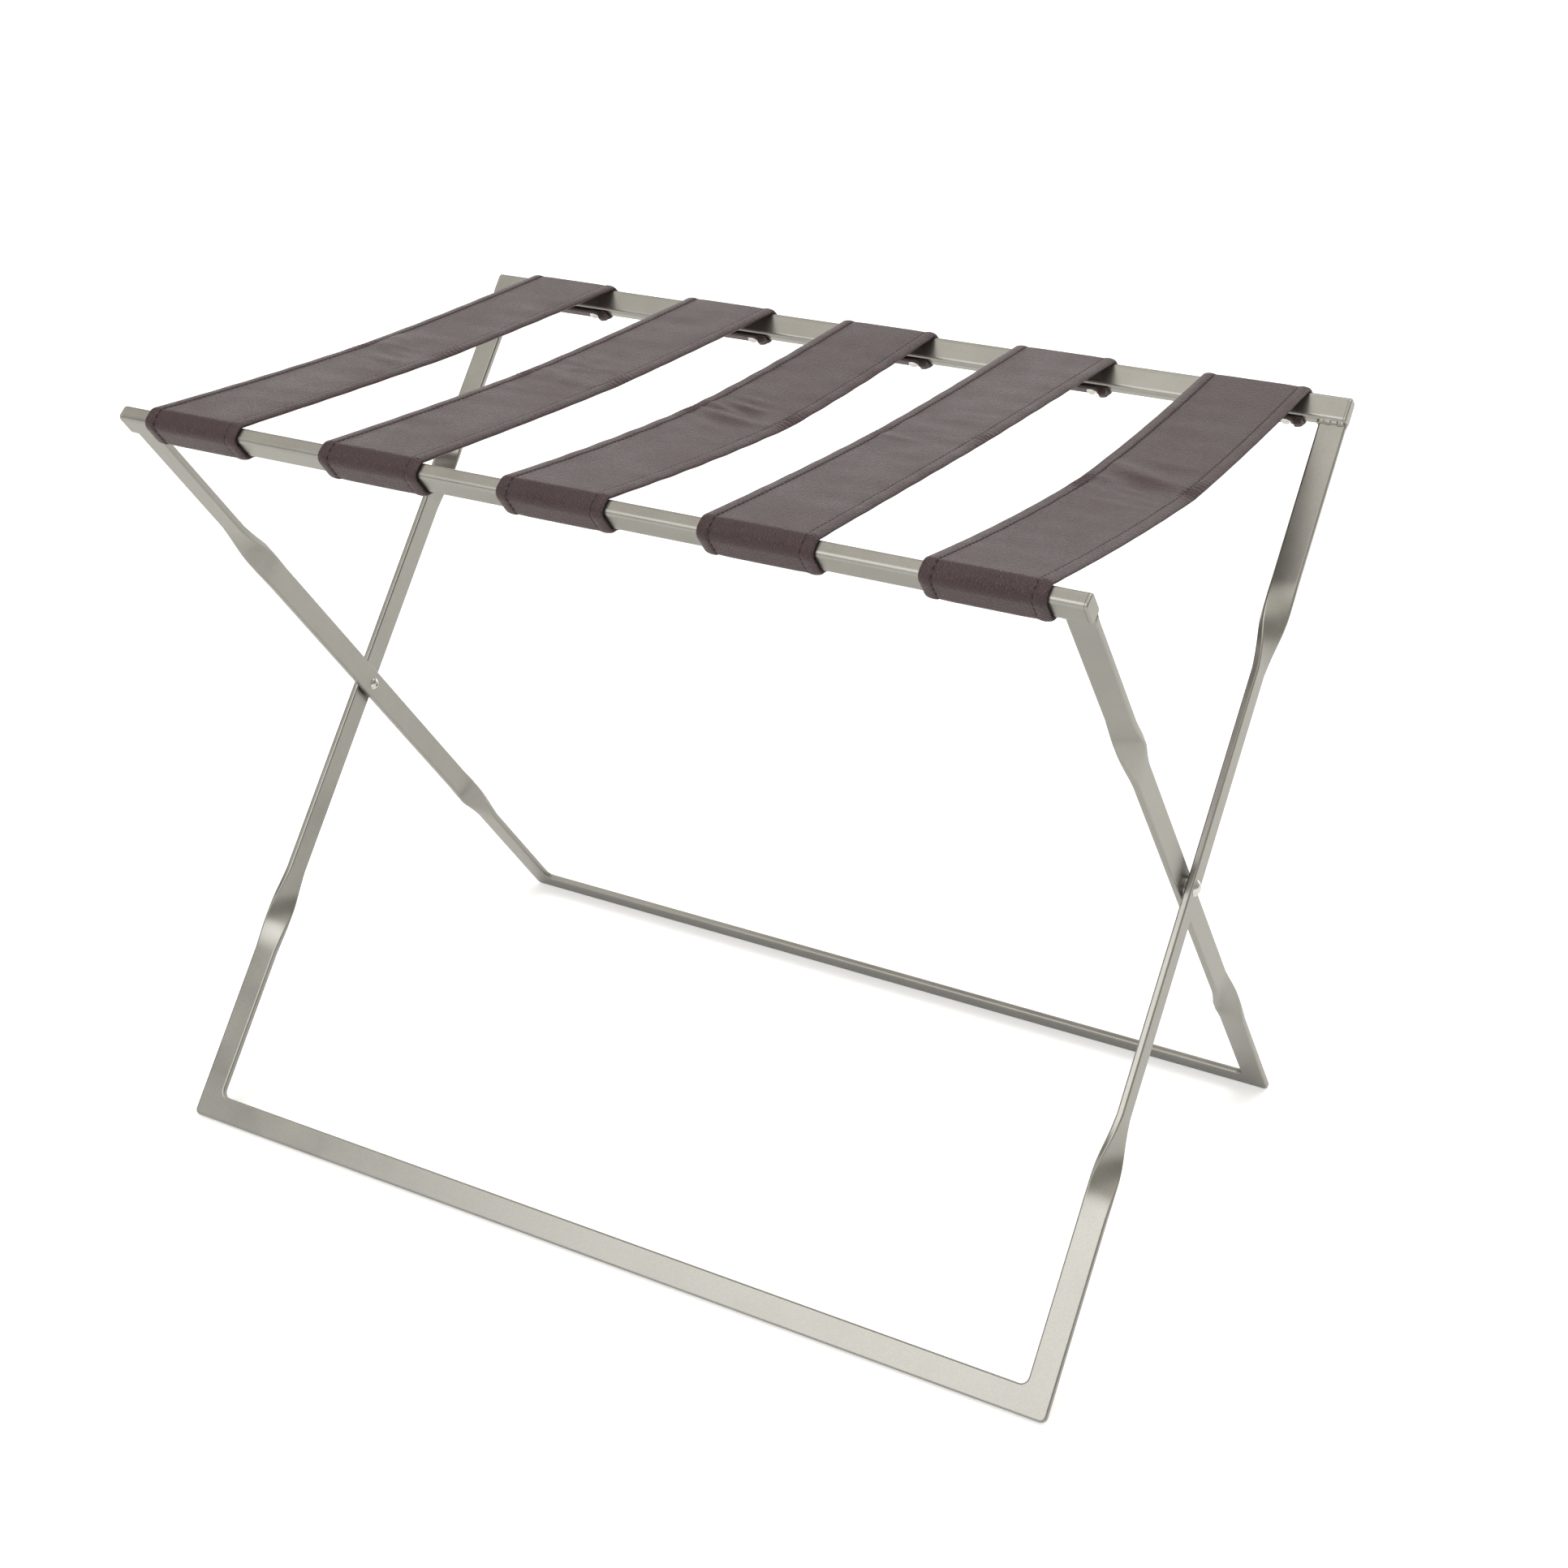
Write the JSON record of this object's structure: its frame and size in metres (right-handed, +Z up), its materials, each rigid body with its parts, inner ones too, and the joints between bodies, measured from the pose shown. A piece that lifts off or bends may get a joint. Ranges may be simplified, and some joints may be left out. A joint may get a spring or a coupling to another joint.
{
  "type": "folding luggage rack",
  "caption": "Folding luggage rack: crossing welded flat-bar frames on side pivots, twisted legs, leather straps between the top rails, folding like scissors.",
  "frame": {"origin": "on the floor, midway between the ends and between the front and rear floor rails", "axes": "+X along the rails, to the right; +Y to the rear; +Z up. The rack is open, as it stands in use."},
  "size_m": [0.6402, 0.4102, 0.5069],
  "materials": {
    "frame_metal": "satin nickel plate, fine grain",
    "pivot_washer": "satin nickel plate",
    "pivot_hardware": "polished nickel",
    "strap_hardware": "polished nickel",
    "strap_leather": "dark brown pebbled leather, satin"
  },
  "bodies": {
    "outer_frame": {"outer_leg_left": "frame_metal", "outer_leg_right": "frame_metal", "outer_floor_rail": "frame_metal", "outer_top_rail": "frame_metal", "outer_cap_left": "frame_metal", "outer_cap_right": "frame_metal", "rear_strap_screws": "strap_hardware", "pivot_barrel_left": "pivot_hardware", "pivot_barrel_right": "pivot_hardware", "pivot_screw_left": "pivot_hardware", "pivot_screw_right": "pivot_hardware", "pivot_washer_left": "pivot_washer", "pivot_washer_right": "pivot_washer", "strap_1_rear_loop": "strap_leather", "strap_2_rear_loop": "strap_leather", "strap_3_rear_loop": "strap_leather", "strap_4_rear_loop": "strap_leather", "strap_5_rear_loop": "strap_leather"},
    "inner_frame": {"inner_leg_left": "frame_metal", "inner_leg_right": "frame_metal", "inner_floor_rail": "frame_metal", "inner_top_rail": "frame_metal", "inner_cap_left": "frame_metal", "inner_cap_right": "frame_metal", "front_strap_screws": "strap_hardware", "strap_1_front_loop": "strap_leather", "strap_2_front_loop": "strap_leather", "strap_3_front_loop": "strap_leather", "strap_4_front_loop": "strap_leather", "strap_5_front_loop": "strap_leather"},
    "strap_1_rear": {"strap_1_rear_half": "strap_leather", "strap_1_middle": "strap_leather"},
    "strap_1_front": {"strap_1_front_half": "strap_leather"},
    "strap_2_rear": {"strap_2_rear_half": "strap_leather", "strap_2_middle": "strap_leather"},
    "strap_2_front": {"strap_2_front_half": "strap_leather"},
    "strap_3_rear": {"strap_3_rear_half": "strap_leather", "strap_3_middle": "strap_leather"},
    "strap_3_front": {"strap_3_front_half": "strap_leather"},
    "strap_4_rear": {"strap_4_rear_half": "strap_leather", "strap_4_middle": "strap_leather"},
    "strap_4_front": {"strap_4_front_half": "strap_leather"},
    "strap_5_rear": {"strap_5_rear_half": "strap_leather", "strap_5_middle": "strap_leather"},
    "strap_5_front": {"strap_5_front_half": "strap_leather"}
  },
  "joints": [
    {"name": "fold", "type": "hinge", "parent": "outer_frame", "child": "inner_frame", "pos_m": [0, 0, 0.253], "axis": [-1, 0, 0], "range_deg": [0, 70]},
    {"name": "strap_1_rear_hang", "type": "hinge", "parent": "outer_frame", "child": "strap_1_rear", "pos_m": [0, 0.19602, 0.50087], "axis": [1, 0, 0], "range_deg": [0, 49.6], "deforming": ["strap_1_middle"]},
    {"name": "strap_2_rear_hang", "type": "hinge", "parent": "outer_frame", "child": "strap_2_rear", "pos_m": [0, 0.19602, 0.50087], "axis": [1, 0, 0], "range_deg": [0, 49.6], "deforming": ["strap_2_middle"]},
    {"name": "strap_3_rear_hang", "type": "hinge", "parent": "outer_frame", "child": "strap_3_rear", "pos_m": [0, 0.19602, 0.50087], "axis": [1, 0, 0], "range_deg": [0, 47.9], "deforming": ["strap_3_middle"]},
    {"name": "strap_4_rear_hang", "type": "hinge", "parent": "outer_frame", "child": "strap_4_rear", "pos_m": [0, 0.19602, 0.50087], "axis": [1, 0, 0], "range_deg": [0, 50.1], "deforming": ["strap_4_middle"]},
    {"name": "strap_5_rear_hang", "type": "hinge", "parent": "outer_frame", "child": "strap_5_rear", "pos_m": [0, 0.19602, 0.50087], "axis": [1, 0, 0], "range_deg": [0, 47.1], "deforming": ["strap_5_middle"]},
    {"name": "strap_1_front_hang", "type": "hinge", "parent": "inner_frame", "child": "strap_1_front", "pos_m": [0, -0.19602, 0.50087], "axis": [-1, 0, 0], "range_deg": [0, 49.6]},
    {"name": "strap_2_front_hang", "type": "hinge", "parent": "inner_frame", "child": "strap_2_front", "pos_m": [0, -0.19602, 0.50087], "axis": [-1, 0, 0], "range_deg": [0, 49.6]},
    {"name": "strap_3_front_hang", "type": "hinge", "parent": "inner_frame", "child": "strap_3_front", "pos_m": [0, -0.19602, 0.50087], "axis": [-1, 0, 0], "range_deg": [0, 47.9]},
    {"name": "strap_4_front_hang", "type": "hinge", "parent": "inner_frame", "child": "strap_4_front", "pos_m": [0, -0.19602, 0.50087], "axis": [-1, 0, 0], "range_deg": [0, 50.1]},
    {"name": "strap_5_front_hang", "type": "hinge", "parent": "inner_frame", "child": "strap_5_front", "pos_m": [0, -0.19602, 0.50087], "axis": [-1, 0, 0], "range_deg": [0, 47.1]}
  ],
  "couplings": [
    {"joint": "strap_1_rear_hang", "follows": "fold", "ratio": 0.70857},
    {"joint": "strap_2_rear_hang", "follows": "fold", "ratio": 0.70857},
    {"joint": "strap_3_rear_hang", "follows": "fold", "ratio": 0.68428},
    {"joint": "strap_4_rear_hang", "follows": "fold", "ratio": 0.71571},
    {"joint": "strap_5_rear_hang", "follows": "fold", "ratio": 0.67285},
    {"joint": "strap_1_front_hang", "follows": "fold", "ratio": 0.70857},
    {"joint": "strap_2_front_hang", "follows": "fold", "ratio": 0.70857},
    {"joint": "strap_3_front_hang", "follows": "fold", "ratio": 0.68428},
    {"joint": "strap_4_front_hang", "follows": "fold", "ratio": 0.71571},
    {"joint": "strap_5_front_hang", "follows": "fold", "ratio": 0.67285}
  ]
}
